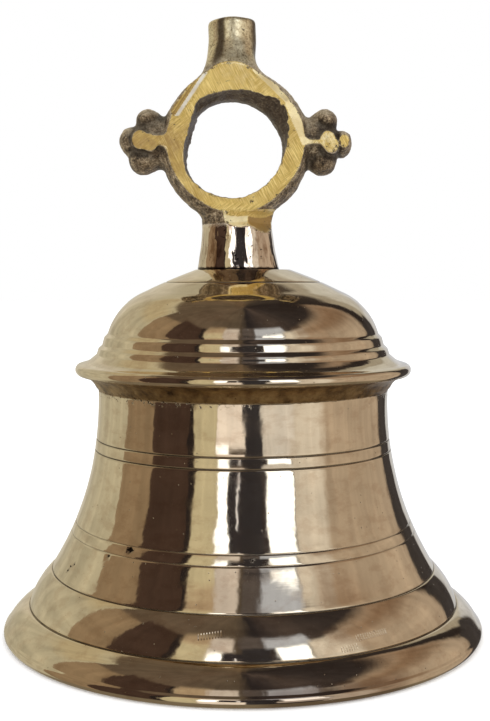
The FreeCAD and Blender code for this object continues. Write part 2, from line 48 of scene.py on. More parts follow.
def arc_points(start, end, radius, turns_left, spacing):
    """Points along the short arc from start to end, without start; turns_left gives the centre's side."""
    start, end = np.array(start, float), np.array(end, float)
    chord = end - start
    length = np.hypot(*chord)
    toward = np.array((-chord[1], chord[0])) / length * math.sqrt(radius**2 - length**2 / 4)
    centre = (start + end) / 2 + (toward if turns_left else -toward)
    first = math.atan2(*(start - centre)[::-1])
    sweep = 2 * math.asin(length / 2 / radius) * (1 if turns_left else -1)
    count = max(2, int(radius * abs(sweep) / spacing))
    turn = first + sweep * np.arange(1, count + 1) / count
    return centre + radius * np.column_stack((np.cos(turn), np.sin(turn)))


def trace(steps, spacing=0.1):
    """Even, dense points of an outline. A step is (r, z) for a straight run to that corner, or
    (r, z, radius, hand) for an arc that turns to that hand on the way there."""
    points = [np.array(steps[0][:2], float)]
    for step in steps[1:]:
        end = np.array(step[:2], float)
        if len(step) == 2:
            count = max(1, int(np.hypot(*(end - points[-1])) / spacing))
            points.extend(points[-1] + (end - points[-1]) * k / count for k in range(1, count + 1))
        else:
            points.extend(arc_points(points[-1], end, step[2], step[3] == "left", spacing))
    return np.array(points)


def along(points):
    """Distance of each point from the outline's start."""
    return np.concatenate(([0.0], np.cumsum(np.hypot(*np.diff(points, axis=0).T))))


def soften(points, width):
    """Rounds every corner of a dense outline by a moving average about width wide."""
    reach = along(points)
    even = np.linspace(0, reach[-1], int(reach[-1] / 0.05))
    dense = np.column_stack([np.interp(even, reach, points[:, k]) for k in (0, 1)])
    half = max(1, int(width / 0.05))
    kernel = np.hanning(2 * half + 3)[1:-1]
    kernel /= kernel.sum()
    padded = np.vstack((2 * dense[0] - dense[half:0:-1], dense, 2 * dense[-1] - dense[-2:-half - 2:-1]))
    return np.column_stack([np.convolve(padded[:, k], kernel, "valid") for k in (0, 1)])


def thin_out(points, count, for_curves):
    """Picks count points of a dense outline; for_curves is the share that goes to where it bends."""
    step = np.diff(points, axis=0)
    heading = np.unwrap(np.arctan2(step[:, 1], step[:, 0]))
    bend = np.minimum(np.abs(np.diff(heading, prepend=heading[0])), 0.2)
    length = np.hypot(*step.T)
    weight = length / length.sum() * (1 - for_curves) + bend / bend.sum() * for_curves
    share = np.concatenate(([0.0], np.cumsum(weight)))
    return np.interp(np.linspace(0, share[-1], count), share, np.arange(len(points)))


def at_places(values, places):
    """Values of a dense outline's points at fractional places between them."""
    columns = values.reshape(len(values), -1)
    order = np.arange(len(values))
    return np.column_stack([np.interp(places, order, column) for column in columns.T])


# ------------------------ mesh tools

def new_object(name, vertices, faces, smooth=True):
    mesh = bpy.data.meshes.new(name)
    mesh.from_pydata([tuple(v) for v in vertices], [], [tuple(f) for f in faces])
    mesh.update()
    piece = bpy.data.objects.new(name, mesh)
    bpy.context.scene.collection.objects.link(piece)
    if smooth:
        mesh.shade_smooth()
    return piece


def turned_grid(outline, segments):
    """Vertices (row by row) and quads of a closed outline of (r, z) turned round the Z axis."""
    turn = 2 * math.pi * np.arange(segments) / segments
    r, z = outline[:, 0:1], outline[:, 1:2]
    vertices = np.stack((r * np.sin(turn), -r * np.cos(turn), z + 0 * turn), axis=-1).reshape(-1, 3)
    row, place = np.divmod(np.arange(len(vertices)), segments)
    above, beside = (row + 1) % len(outline) * segments, (place + 1) % segments
    row = row * segments
    return vertices, np.column_stack((row + place, row + beside, above + beside, above + place))


# ------------------------ noise

TABLE = 4096
PRIMES = np.array((73856093, 19349663, 83492791))


def lumps(points, size, seed):
    """Gradient noise, mostly between -0.7 and 0.7, with lumps about size wide (one size, or one per axis)."""
    slopes = np.random.default_rng(seed).normal(size=(TABLE, 3))
    slopes /= np.linalg.norm(slopes, axis=1)[:, None]
    place = np.asarray(points) / np.asarray(size) + seed * 7.31
    corner = np.floor(place).astype(np.int64)
    inside = place - corner
    ease = inside ** 3 * (inside * (inside * 6 - 15) + 10)
    total = np.zeros(len(place))
    for step in np.ndindex(2, 2, 2):
        offset = np.array(step)
        slope = slopes[np.bitwise_xor.reduce((corner + offset) * PRIMES, axis=1) % TABLE]
        weight = np.prod(np.where(offset, ease, 1 - ease), axis=1)
        total += weight * np.sum(slope * (inside - offset), axis=1)
    return total * 1.4


def ease_between(values, low, high):
    """0 below low and 1 above high, smoothly; turned round when low is the larger."""
    share = np.clip((values - low) / (high - low), 0, 1)
    return share * share * (3 - 2 * share)


# ------------------------ shell

SHELL_OUTSIDE = [
    (95.5, 0.0), (97.6, 0.0), (98.9, 4.4, 2.4, "left"), (89.5, 13.0, 18.6, "left"),
    (80.1, 27.2, 34.0, "left"), (60.4, 100.9, 132.7, "right"), (61.5, 102.2), (67.6, 106.9, 7.7, "right"),
    (68.4, 111.5, 2.4, "left"), (62.5, 114.3, 10.0, "right"), (61.0, 115.5), (60.2, 118.0), (58.7, 119.3),
    (57.8, 122.6), (56.4, 124.0), (40.5, 141.4, 26.5, "left"), (19.5, 150.4, 200.0, "left"), (4.3, 150.4)]
SHELL_INSIDE = [
    (4.3, 150.4), (4.3, 145.2), (13.5, 145.2), (36.5, 138.2, 62.0, "right"), (52.0, 120.0, 25.0, "right"),
    (55.6, 99.0), (75.0, 24.0, 137.5, "left"), (84.3, 10.5), (93.4, 0.0), (95.5, 0.0)]
ENGRAVED = [  # lines cut round the outside
    (89.5, 13.0), (80.1, 27.2), (71.72, 42.5), (70.02, 46.5), (61.93, 76.2), (61.40, 80.7), (32.2, 145.25)]
SEGMENTS = 352
OUTER_ROWS, INNER_ROWS = 232, 46
CORNER = 0.45            # how wide polishing has rounded the corners
LINE_DEPTH, LINE_WIDTH = 0.34, 0.30
PITS = [  # casting pits on the outside: azimuth, height, width, depth
    (-36.7, 45.2, 1.15, 0.8), (-44.9, 41.5, 0.55, 0.5), (-62.8, 33.4, 0.5, 0.4), (-61.0, 34.6, 0.4, 0.4),
    (-63.6, 31.6, 0.4, 0.35), (2.8, 44.6, 0.45, 0.35), (151.0, 61.0, 0.9, 0.6), (-118.0, 88.0, 0.7, 0.5),
    (96.0, 36.0, 0.8, 0.6), (170.0, 132.0, 0.8, 0.5)]


def outward(points):
    """Unit normals on the right-hand side of a dense outline."""
    step = np.gradient(points, axis=0)
    normal = np.column_stack((step[:, 1], -step[:, 0]))
    return normal / np.hypot(*normal.T)[:, None]


def band(values, low, high, soft):
    """1 between low and high, falling to 0 over soft on either side."""
    rise = np.clip((values - low) / soft + 0.5, 0, 1)
    fall = np.clip((high - values) / soft + 0.5, 0, 1)
    return (rise * rise * (3 - 2 * rise)) * (fall * fall * (3 - 2 * fall))


def shell_outline():
    """Points, outward normals, engraving and reach (distance from the rim) of the shell's section."""
    rows = []
    for steps, count in ((SHELL_OUTSIDE, OUTER_ROWS), (SHELL_INSIDE, INNER_ROWS)):
        dense = soften(trace(steps), CORNER)
        normal = outward(dense)
        line = np.zeros(len(dense))
        if steps is SHELL_OUTSIDE:
            for place in ENGRAVED:
                near = np.hypot(*(dense - np.array(place)).T)
                line = np.maximum(line, np.exp(-(near / LINE_WIDTH) ** 2))
            dense = dense - normal * LINE_DEPTH * line[:, None]
        reach = along(dense) * (1 if steps is SHELL_OUTSIDE else -1)
        places = thin_out(dense, count, 0.45 if steps is SHELL_OUTSIDE else 0.3)
        rows.append([at_places(v, places) for v in (dense, normal, line, reach)])
    outside, inside = rows
    return [np.vstack((o, i[1:-1])) for o, i in zip(outside, inside)]


def hand_finish(points, azimuth, height, reach, outer):
    """How far polishing by hand left each point proud of the true section."""
    rise = 0.150 * lumps(points, 25, 1) + 0.050 * lumps(points, 9, 2)
    rings = np.column_stack((0.004 * points[:, 0], 0.004 * points[:, 1], reach))
    rise += 0.012 * lumps(rings, 2.6, 3)
    flutes = np.column_stack((points[:, :2], points[:, 2] * 0.12))
    rise += 0.050 * lumps(flutes, 2.4, 4) * band(height, 82, 101, 8) * band(azimuth, -26, 30, 14)
    rise += 0.018 * lumps(flutes, 2.2, 5) * band(height, 28, 101, 6) * band(azimuth, 15, 21, 4)
    return np.where(outer, rise, 1.6 * rise)


def dig_pits(points):
    """Depth of the casting pits at each point; they are widened along the turning."""
    dug = np.zeros(len(points))
    for azimuth, height, width, depth in PITS:
        turn = math.radians(azimuth)
        near = np.abs(points[:, 2] - height) < 3 * width
        side = points[:, 0] * math.cos(turn) + points[:, 1] * math.sin(turn)
        front = points[:, 0] * math.sin(turn) - points[:, 1] * math.cos(turn) > 0
        spread = np.abs(side) / (1.7 * width) + np.abs(points[:, 2] - height) / width
        hole = np.clip(1.25 - spread, 0, 1)
        dug += np.where(near & front, depth * hole * hole * (3 - 2 * hole), 0)
    return dug


def make_shell():
    """The bell's shell, turned from its section, then dented and pitted as hand work leaves it."""
    outline, normals, line, reach = shell_outline()
    points, faces = turned_grid(outline, SEGMENTS)
    directions = turned_grid(normals, SEGMENTS)[0]
    repeat = np.repeat(np.arange(len(outline)), SEGMENTS)
    height, along_section = outline[repeat, 1], reach[repeat, 0]
    azimuth = np.degrees(np.arctan2(points[:, 0], -points[:, 1]))
    outer = along_section >= 0
    rise = hand_finish(points, azimuth, height, np.abs(along_section), outer)
    pit = dig_pits(points)
    seat = 1 - band(height, 149.5, 151.5, 0.5) * (np.hypot(*points[:, :2].T) < 20)
    foot = np.clip(np.abs(height) / 2.0, 0, 1)
    points = points + directions * (rise * seat * foot - pit * outer)[:, None]
    shell = new_object("polished_shell", points * MM, faces)
    store(shell, reach=along_section, line=line[repeat, 0], pit=np.clip(pit / 0.35, 0, 1) * outer,
          inner=1.0 - outer, cove=band(height, 100.6, 107.5, 1.6) * outer)
    return shell


def store(piece, **numbers):
    """Keeps numbers per vertex for the materials."""
    for name, values in numbers.items():
        layer = piece.data.attributes.new(name, "FLOAT", "POINT")
        layer.data.foreach_set("value", np.asarray(values, np.float32))


# ------------------------ solids as distance fields

def joined(first, second, blend):
    """Union of two distance fields with a fillet about blend wide."""
    share = np.clip(0.5 + 0.5 * (second - first) / blend, 0, 1)
    return second * (1 - share) + first * share - blend * share * (1 - share)


def turned_field(across, deep, height, outline, low, high, power=2.0):
    """Distance to a turned solid; outline gives its radius by height, and a power over 2 squares it off."""
    heights = np.linspace(low, high, max(80, int((high - low) * 5)))
    radii = np.interp(heights, outline[:, 1], outline[:, 0])
    radius = np.interp(height, heights, radii)
    slope = np.interp(height, heights, np.gradient(radii, heights))
    reach = (np.abs(across) ** power + np.abs(deep) ** power + 1e-9) ** (1 / power)
    side = (reach - radius) / np.sqrt(1 + np.minimum(slope ** 2, 4))
    return np.maximum(side, np.maximum(low - height, height - high))


def ellipsoid(x, y, z, centre, radii):
    """Nearly the distance to an ellipsoid."""
    u, v, w = (x - centre[0]) / radii[0], (y - centre[1]) / radii[1], (z - centre[2]) / radii[2]
    reach = np.sqrt(u * u + v * v + w * w) + 1e-9
    steep = np.sqrt((u / radii[0]) ** 2 + (v / radii[1]) ** 2 + (w / radii[2]) ** 2) + 1e-9
    return reach * (reach - 1) / steep


def neighbours(values, axis, across=slice(None)):
    """Each value of a grid, and the next one along an axis."""
    near, far = [across] * 3, [across] * 3
    near[axis], far[axis] = slice(0, -1), slice(1, None)
    return values[tuple(near)], values[tuple(far)]


def net_of(values, lowest, cell):
    """Surface net: one vertex in every grid cell that the zero surface passes, and its quads."""
    inside = values < 0
    count = np.array(values.shape) - 1
    total, hits = np.zeros((*count, 3)), np.zeros(count)
    for axis in range(3):
        others = [k for k in range(3) if k != axis]
        a, b = neighbours(values, axis)
        crossed = np.not_equal(*neighbours(inside, axis))
        share = np.where(crossed, a / np.where(crossed, a - b, 1), 0)
        for offset in np.ndindex(2, 2):
            part = [slice(None)] * 3
            for k, o in zip(others, offset):
                part[k] = slice(o, o + count[k])
            part = tuple(part)
            hits += crossed[part]
            total[..., axis] += share[part]
            for k, o in zip(others, offset):
                total[..., k] += o * crossed[part]
    active = hits > 0
    number = np.full(tuple(count), -1)
    number[active] = np.arange(active.sum())
    where = np.argwhere(active)
    vertices = lowest + cell * (where + total[active] / hits[active][:, None])
    faces = []
    for axis in range(3):
        second, third = (axis + 1) % 3, (axis + 2) % 3
        first, last = neighbours(inside, axis, slice(1, -1))
        start = np.ones(3, int)
        start[axis] = 0
        for leaving in (True, False):
            place = np.argwhere(first & ~last if leaving else last & ~first) + start
            around = []
            for u, v in ((1, 1), (0, 1), (0, 0), (1, 0)):
                cell_at = place.copy()
                cell_at[:, second] -= u
                cell_at[:, third] -= v
                around.append(number[tuple(cell_at.T)])
            quads = np.column_stack(around)
            faces.append(quads if leaving else quads[:, ::-1])
    return vertices, np.vstack(faces)


def settle(points, field, rounds=3, step=0.05):
    """Moves points onto the zero surface of field, and gives its outward unit normals there."""
    for _ in range(rounds):
        value = field(points)
        slope = np.column_stack([
            (field(points + step * axis) - field(points - step * axis)) / (2 * step) for axis in np.eye(3)])
        size = np.maximum(np.sum(slope ** 2, axis=1), 0.2)
        points = points - slope * (np.clip(value, -0.4, 0.4) / size)[:, None]
    return points, slope / np.linalg.norm(slope, axis=1)[:, None]


def skin_of(field, lowest, highest, cell):
    """Points, outward unit normals and quads of the zero surface of field inside a box."""
    axes = [np.arange(low, high + cell, cell) for low, high in zip(lowest, highest)]
    y, z = (plane.ravel() for plane in np.meshgrid(axes[1], axes[2], indexing="ij"))
    values = np.stack([field(np.column_stack((np.full(len(y), x), y, z))).reshape(len(axes[1]), len(axes[2]))
                       for x in axes[0]])
    points, faces = net_of(values, np.array(lowest, float), cell)
    points, normals = settle(points, field)
    return points, normals, faces


# ------------------------ crown

SEAT = np.array((-2.1, 0.0, 150.4))
LEAN = math.radians(1.4)
RING_HEIGHT = 49.6
RING_CENTRE = SEAT + np.array((-math.sin(LEAN), 0, math.cos(LEAN))) * RING_HEIGHT
NECK = [(17.3, -1.5), (17.0, 0.2), (14.4, 19.0, 93.0, "right"), (15.2, 27.0), (15.2, 30.0)]
STUB = [(20.0, 72.0), (17.9, 74.5), (9.8, 89.0, 17.0, "right"), (9.7, 103.5)]
FILED = 14.0                             # where the front and back faces are filed, from the middle
RING_RADIUS, RING_HALF = 30.9, 15.6      # before filing: reach at mid depth, and half the depth
BEVEL_LIMIT = 31.4                       # bevels end at this reach, short of the buds
HOLE_RADIUS, HOLE_WALL = 20.4, 0.6       # radius at mid depth; nearer its wall than this, metal is the hole's
STUB_TOP = 101.9
CELL = 0.5
GRID = (-55.05, -17.03, 149.42), (48.0, 17.03, 254.0)    # placed so that no two sheets of skin share an edge
BUD_RISE, BUD_ROOT = 2.6, 24             # from the ring's centre: the buds' middle, where filing starts
BUDS = {  # the left and right buds differ, as hand-cut patterns do: places from the ring's centre
    -1: dict(core=(31.5, -0.2, (11.5, 11.5, 10.2)), bosses=[(34.4, -1.2, 4.2, 4.2), (38.2, -0.1, 4.0, 4.7)],
             ridge=2.1, lift=-0.4, reach=36,
             lobes=[(35.6, 9.2, (5.0, 10.2, 4.3)), (43.0, 0.4, (4.6, 11.0, 5.6)),
                    (38.0, -7.7, (5.8, 11.0, 5.2))]),
    +1: dict(core=(31.5, 0.0, (11.0, 11.0, 10.2)), bosses=[(37.4, 0.0, 3.8, 4.2), (39.0, -2.4, 3.4, 3.6)],
             ridge=0.9, lift=-0.9, reach=37,
             lobes=[(37.0, 8.9, (5.0, 10.5, 4.7)), (44.1, -0.7, (3.9, 17.0, 5.2)),
                    (36.2, -8.2, (5.3, 11.0, 5.0))]),
}
DARK_STREAKS = [(-27, 11, 1.0), (66, 20, 0.9), (165, 22, 0.8)]  # dark upright streaks on the stub, the one at -27 degrees a painted reflection of a dark thing beside it: degrees from -Y, width, strength


def crown_frame(points):
    """Across, deep and height of points along the crown's own leaning axis."""
    x, y, z = (points - SEAT).T
    return x * math.cos(LEAN) + z * math.sin(LEAN), y, z * math.cos(LEAN) - x * math.sin(LEAN)


def bud_field(points, side):
    """A trefoil bud: core, three lobes, and a boss with a ridge that stand up to the file."""
    x, y, z = (points - RING_CENTRE - (0, 0, BUD_RISE)).T
    x = x * side
    bud = BUDS[side]
    reach, rise, radii = bud["core"]
    field = ellipsoid(x, y, z, (reach, 0, rise), radii)
    for reach, rise, radii in bud["lobes"]:
        field = joined(field, ellipsoid(x, y, z, (reach, 0, rise), radii), 3.0)
    lean = 1 - 0.012 * np.abs(y)
    bar = np.abs(z - bud["lift"]) - bud["ridge"] - 0.10 * (FILED - np.abs(y))
    proud = np.maximum(bar, np.maximum(x - bud["reach"], BUD_ROOT - x))
    for reach, rise, wide, tall in bud["bosses"]:
        boss = (np.hypot((x - reach) / wide, (z - rise) / tall) - lean) * min(wide, tall)
        proud = joined(proud, boss, 0.8)
    return joined(field, np.maximum(proud, np.abs(y) - FILED - 0.7), 1.3)


def ring_field(points):
    """The hanging ring before it is filed and its hole is cut: a barrel that bulges unevenly."""
    x, y, z = (points - RING_CENTRE).T
    up = np.arctan2(z, x)
    outside = np.hypot(x, z - 0.6)
    turn = np.degrees(up)
    bulge = 3.1 + 0.8 * np.exp(-((turn - 50) / 20) ** 2) + 1.3 * np.exp(-((turn + 40) / 24) ** 2)
    bulge += 1.6 * np.exp(-((np.mod(turn, 360) - 215) / 45) ** 2)
    barrel = bulge * (y / 15) ** 2
    outer = outside - (RING_RADIUS + 0.5 * np.sin(up) - barrel)
    return np.maximum(outer, np.abs(y) - RING_HALF)


HOLE_EDGE = [  # how far the hole's front and back edges stand out from its middle: degrees from +X, reach
    (-180, -0.6), (-150, 0.7), (-130, -0.1), (-75, 0.0), (-40, -0.7), (-12, -0.3), (0, 0.9), (12, 2.0),
    (22, 3.7), (38, 6.3), (50, 5.7), (60, 3.8), (85, 2.2), (108, 1.9), (122, 2.7), (131, 2.1), (140, 0.4),
    (160, -1.2), (180, -0.6)]
CHIPS = [(1.0, 23, 60), (0.8, 41, 0), (0.5, 67, 20)]  # along that edge: height, count, start in degrees


def hole_field(points):
    """The hole's wall, rough and a little out of round, widening towards its ends."""
    x, y, z = (points - RING_CENTRE + (0.8, 0, 0.7)).T
    up = np.degrees(np.arctan2(z, x))
    widening = np.interp(up, *zip(*HOLE_EDGE))
    chipped = ease_between(np.abs(up - 35), 38, 8) + 0.3 * ease_between(np.abs(up - 160), 30, 8)
    chips = sum(high * np.sin(np.radians(count * up + start)) for high, count, start in CHIPS)
    draft = ease_between(np.abs(y), 3, 13.5) * (widening + (0.06 + 0.24 * chipped) * chips)
    return np.hypot(x, z) - (HOLE_RADIUS + draft + 0.3 * np.cos(np.radians(3 * up + 40)))


BEVELS = [  # flats between face and rim: degrees from +X, reach, middle along it, half length, slope, painted light (a painted highlight above 0, painted shade below 0)
    (146, 24.1, -8.0, 10.5, 30, 1.0), (23, 25.7, -1.4, 9.2, 20, 0.65), (47, 26.8, 6.3, 9.0, 35, 0.8),
    (-42, 26.4, 0.0, 8.0, 17, -0.15), (214, 25.0, 0.0, 8.0, 14, -0.3)]
ACROSS_BEVEL = (0.0, 1.2, 1.5, 2.7, 2.95, 3.4, 4.0, 4.5, 5.2, 5.8)   # from a bevel's inner edge outwards, where its stripes of painted highlight and painted shade change
# painted highlight (above 0) and painted shade (below 0) in stripes across the bevel whose level is 1
BEVEL_PAINTED_LIGHT = (0.15, 0.3, 1.6, 1.7, -1.5, -0.2, -1.1, 0.3, -1.3, 0.3)
FACE_PAINTED_LIGHT = [  # degrees from +X, painted light on the ring's filed faces (a painted highlight above 0, painted shade below 0)
    (-180, -0.5), (-130, -0.25), (-90, 0.15), (-45, 0.1), (0, -0.15), (45, 0.2), (90, 0.3), (125, 0.1),
    (150, -0.3), (180, -0.5)]
NECK_FLATS = [(7, 13.2, 0.85), (50, 13.9, -0.8), (-52, 14.4, -0.3)]  # degrees from -Y, reach, painted light (a painted highlight above 0, painted shade below 0)
NECK_RIDGES = [(31, 0.34, 14), (-17, 0.10, 9), (-62, 0.12, 9), (150, 0.2, 14)]  # from -Y, height, half width


def file_planes(points):
    """How far points stand proud of the flats filed on the ring, front and back, and the highlight and shade
    painted on those flats.
    """
    x, y, z = (points - RING_CENTRE).T
    up = np.arctan2(z, x)
    depth = np.abs(y)
    below = ease_between(z, -25.0, -29.0)
    proud = depth - FILED - 2.6 * below - 0.10 * np.sin(3 * up) - 0.008 * x
    shine = np.interp(np.degrees(up), *zip(*FACE_PAINTED_LIGHT))
    for direction, reach, middle, half, slope, painted_light_level in BEVELS:
        tilt, turn = math.radians(slope), math.radians(direction)
        out = x * math.cos(turn) + z * math.sin(turn) - reach
        past = np.maximum(np.abs(z * math.cos(turn) - x * math.sin(turn) - middle) - half, 0)
        beyond = np.maximum(np.hypot(x, z) - BEVEL_LIMIT, 0)
        bevel = (depth - FILED) * math.cos(tilt) + out * math.sin(tilt) - 1.2 * past - 2.0 * beyond
        # each bevel takes its own level of painted highlight or painted shade, in stripes across the first
        # one
        change = np.interp(out, ACROSS_BEVEL, BEVEL_PAINTED_LIGHT) if painted_light_level == 1 else 1
        shine = np.where(bevel > proud, painted_light_level * change, shine)
        proud = np.maximum(proud, bevel)
    return proud, shine


def neck_flats(points):
    """How far points stand proud of the flats filed on the top of the neck, and the highlight and shade
    painted on those flats.
    """
    x, y, z = (points - RING_CENTRE).T
    proud = np.full(len(points), -9.0)
    shine = np.zeros(len(points))
    for direction, reach, painted_light_level in NECK_FLATS:
        turn = math.radians(direction)
        out = (x + 2.4) * math.sin(turn) + np.abs(y) * math.cos(turn) - reach
        flat = out - 0.8 * np.maximum(-30.4 - 0.04 * np.abs(x - 2) - z, 0)
        shine = np.where(flat > proud, painted_light_level, shine)
        proud = np.maximum(proud, flat)
    return proud, shine


def cast_field(points, flats=False):
    """The crown as it left the mould, or with the flats of the neck."""
    across, deep, height = crown_frame(points)
    neck = turned_field(across, deep, height, trace(NECK), -3, 29)
    if flats:
        neck = np.maximum(neck, neck_flats(points)[0])
    blunt = ease_between(height, 95, 83.5)
    across = across + 0.8 * blunt
    stub = turned_field(across, deep / (1 + 0.29 * blunt), height, trace(STUB), 73, 103.2, 2 + 1.1 * blunt)
    top = height - (STUB_TOP + 0.02 * across + 0.25 * np.cos(across * 0.5))
    stub = -joined(-stub, -top, 2.2)
    field = joined(joined(ring_field(points), neck, 2.2), stub, 2.0)
    for side in (-1, 1):
        field = joined(field, bud_field(points, side), 2.6)
    return np.maximum(field, -hole_field(points))


def crown_field(points):
    level = SEAT[2] - points[:, 2]
    return np.maximum(np.maximum(cast_field(points, True), file_planes(points)[0]), level)


def make_crown():
    """The cast crown as one skin, with cast roughness, filed faces and a polished neck."""
    points, normals, faces = skin_of(crown_field, *GRID, CELL)
    across, deep, height = crown_frame(points)
    filed = ease_between(-cast_field(points), 0.02, 0.22) * (points[:, 2] > SEAT[2] + 1)
    flat, painted_light_level = neck_flats(points)
    proud, shine = file_planes(points)
    on_neck = (np.abs(flat) < 0.2) & (proud < -0.15) & (points[:, 2] < RING_CENTRE[2] - 21)
    # painted highlight and painted shade: the neck flats' own on the neck, the ring flats' elsewhere
    shine = np.where(on_neck, painted_light_level, shine)
    hole = np.abs(hole_field(points)) < HOLE_WALL
    polish = ease_between(height, 20.5, 17.0)
    stub = ease_between(height, 80, 86)
    rough = (1 - filed) * (1 - 0.85 * polish) * (1 - 0.82 * stub)
    rise = rough * (0.30 * lumps(points, 3.4, 11) + 0.16 * lumps(points, 1.5, 12))
    rise += (1 - filed) * 0.35 * lumps(points, 9, 13) * (1 - 0.5 * polish)
    flutes = np.column_stack((across, deep, height * 0.16))
    rise += polish * (0.12 * lumps(flutes, 3.2, 14) + 0.06 * lumps(flutes, 1.4, 16))
    around = np.degrees(np.arctan2(across, -deep))
    for place, high, wide in NECK_RIDGES:
        rise += polish * high * np.exp(-((around - place) / wide) ** 2)
    rise += filed * (0.05 * lumps(points, 4.0, 15))
    foot = ease_between(points[:, 2], 150.4, 151.6)
    points = points + normals * (rise * foot)[:, None]
    points[:, 2] = np.maximum(points[:, 2], SEAT[2])
    room = crown_field(points + 2.2 * normals) / 2.2
    backing = -crown_field(points - 1.6 * normals) / 1.6
    crown = new_object("cast_crown", points * MM, faces)
    # dark upright streaks on the stub; the one at -27 degrees is a painted reflection
    stain = sum(strength * np.exp(-((around - place) / wide) ** 2) for place, wide, strength in DARK_STREAKS)
    cast = 1 - filed
    store(crown, filed=filed, shine=shine * filed, polish=polish * cast, stub=stub * cast,
          stain=stain * ease_between(height, 78, 86) * cast,
          brink=filed * ease_between(-cast_field(points), 1.2, 0.2),
          hollow=np.clip(1 - room, 0, 1) * cast, worn=np.clip(1 - backing, 0, 1) * cast, hole=hole * cast)
    return crown


# ------------------------ hardware

UPPER_PIVOT, LOWER_PIVOT = 118.5, 104.5
EYE_REACH, EYE_WIRE = 7.5, 2.5
LINK_REACH, LINK_WIRE = 7.2, 2.2
BOLT_EYE, ROD_EYE = 126.0, 102.0
IRON_CELL, NUT_CELL = 0.42, 0.33
RUB_REACH = 3.1
ROD_OUTLINE = [
    (2.95, 3.4), (2.95, 39.0), (5.6, 39.0), (5.6, 42.0), (3.9, 45.0), (3.3, 84.0), (5.0, 93.0), (5.0, 95.0)]
BOLT_OUTLINE = [(5.6, 135.0), (5.6, 137.1), (3.95, 137.1), (3.95, 168.0)]
SEAT_WASHER = (4.3, 12.0, 143.6, 145.2)       # hole, radius, foot, top
TAIL_WASHER = (3.05, 6.2, 9.8, 11.0)
CLAMP_NUT = (4.0, 6.5, 137.1, 143.6)          # hole, half across flats, foot, top
TAIL_NUT = (3.05, 5.0, 4.8, 9.8)
BALL = [(3.05, 25.0), (3.05, 11.0), (5.39, 11.0), (5.39, 39.0, 15.0, "left"), (3.05, 39.0), (3.05, 25.0)]


def eye_field(points, centre):
    x, y, z = points.T
    return np.hypot(np.hypot(x, z - centre) - EYE_REACH, y) - EYE_WIRE


def threads(points, pitch=1.25, depth=0.22):
    """Depth of a thread's grooves round the Z axis."""
    x, y, z = points.T
    phase = (z / pitch - np.arctan2(y, x) / (2 * np.pi)) % 1
    return depth * np.abs(2 * phase - 1)


def rod_field(points):
    """Forged rod: eye, head, tapering shank, shoulder and threaded tail."""
    x, y, z = points.T
    shank = turned_field(x, y, z, trace(ROD_OUTLINE), 3.4, 94.0)
    tail = ease_between(z, 11.0, 10.5)
    field = joined(shank + tail * threads(points), eye_field(points, ROD_EYE), 1.2)
    return np.maximum(field, np.hypot(x, y) - 2.95 + 0.7 * (4.0 - z) - 5 * (z > 6))


def bolt_field(points):
    """Forged eyebolt: eye, collar and shank."""
    x, y, z = points.T
    shank = turned_field(x, y, z, trace(BOLT_OUTLINE), 134.6, 168.0)
    return joined(shank, eye_field(points, BOLT_EYE), 0.8)


def link_field(points):
    """An oval link in the YZ plane."""
    x, y, z = points.T
    middle = np.clip(z, 111.7, 116.3)
    return np.hypot(np.hypot(y, z - middle) - LINK_REACH, x) - LINK_WIRE


def nut_field(points, sizes):
    hole, half, foot, top = sizes
    x, y, z = points.T
    middle, tall = (foot + top) / 2, (top - foot) / 2
    flats = [np.abs(x * math.cos(turn) + y * math.sin(turn)) - half for turn in np.radians((0, 60, 120))]
    radius = np.hypot(x, y)
    rise = np.abs(z - middle) - tall
    chamfer = 0.5 * (radius - 0.985 * half) + 0.866 * rise
    return np.maximum.reduce([*flats, rise, chamfer, hole - radius, 0.7 * (hole + 0.45 - radius + rise)])


def make_forging(name, field, lowest, highest, pivots):
    """An iron piece as the smith left it: a little hollow and uneven, bright where it rubs."""
    points, normals, faces = skin_of(field, lowest, highest, IRON_CELL)
    rubbed = np.zeros(len(points))
    for pivot in pivots:
        away = np.linalg.norm(points - (0, 0, pivot), axis=1)
        rubbed = np.maximum(rubbed, np.exp(-(away / RUB_REACH) ** 4))
    dent = np.minimum(0.10 * lumps(points, 4.5, 21) + 0.06 * lumps(points, 1.6, 22) - 0.05, 0)
    piece = new_object(name, (points + normals * dent[:, None]) * MM, faces)
    store(piece, rubbed=rubbed)
    return piece


def make_nut(name, sizes):
    reach = 1.2 * sizes[1]
    points, _, faces = skin_of(lambda where: nut_field(where, sizes), (-reach, -reach, sizes[2] - 0.5),
                               (reach, reach, sizes[3] + 0.5), NUT_CELL)
    return new_object(name, points * MM, faces)


def make_turning(name, steps, rounding, rows, segments, worn=0.0):
    """A turned piece from a closed outline; worn is how far its two sides are beaten flat by striking."""
    dense = soften(trace(steps), rounding)[:-1]
    outline = at_places(dense, thin_out(dense, rows + 1, 0.5))[:-1]
    points, faces = turned_grid(outline, segments)
    strike = np.exp(-((points[:, 2] - 24.0) ** 2 + points[:, 1] ** 2) / 5.2 ** 2) * (worn > 0)
    points[:, 0] -= np.sign(points[:, 0]) * strike * (worn + 0.12 * np.abs(lumps(points, 1.8, 31)))
    piece = new_object(name, points * MM, faces)
    store(piece, rubbed=strike)
    return piece


def washer_outline(sizes):
    hole, radius, foot, top = sizes
    middle = (hole + radius) / 2
    return [(middle, foot), (radius, foot), (radius, top), (hole, top), (hole, foot), (middle, foot)]


# ------------------------ shader tools

class Value:
    """What a shader node gives; arithmetic on it adds nodes to the tree in hand."""
    tree = None

    def __init__(self, socket):
        self.socket = socket

    def __add__(self, other):
        return maths("ADD", self, other)

    def __sub__(self, other):
        return maths("SUBTRACT", self, other)

    def __rsub__(self, other):
        return maths("SUBTRACT", other, self)

    def __mul__(self, other):
        return maths("MULTIPLY", self, other)


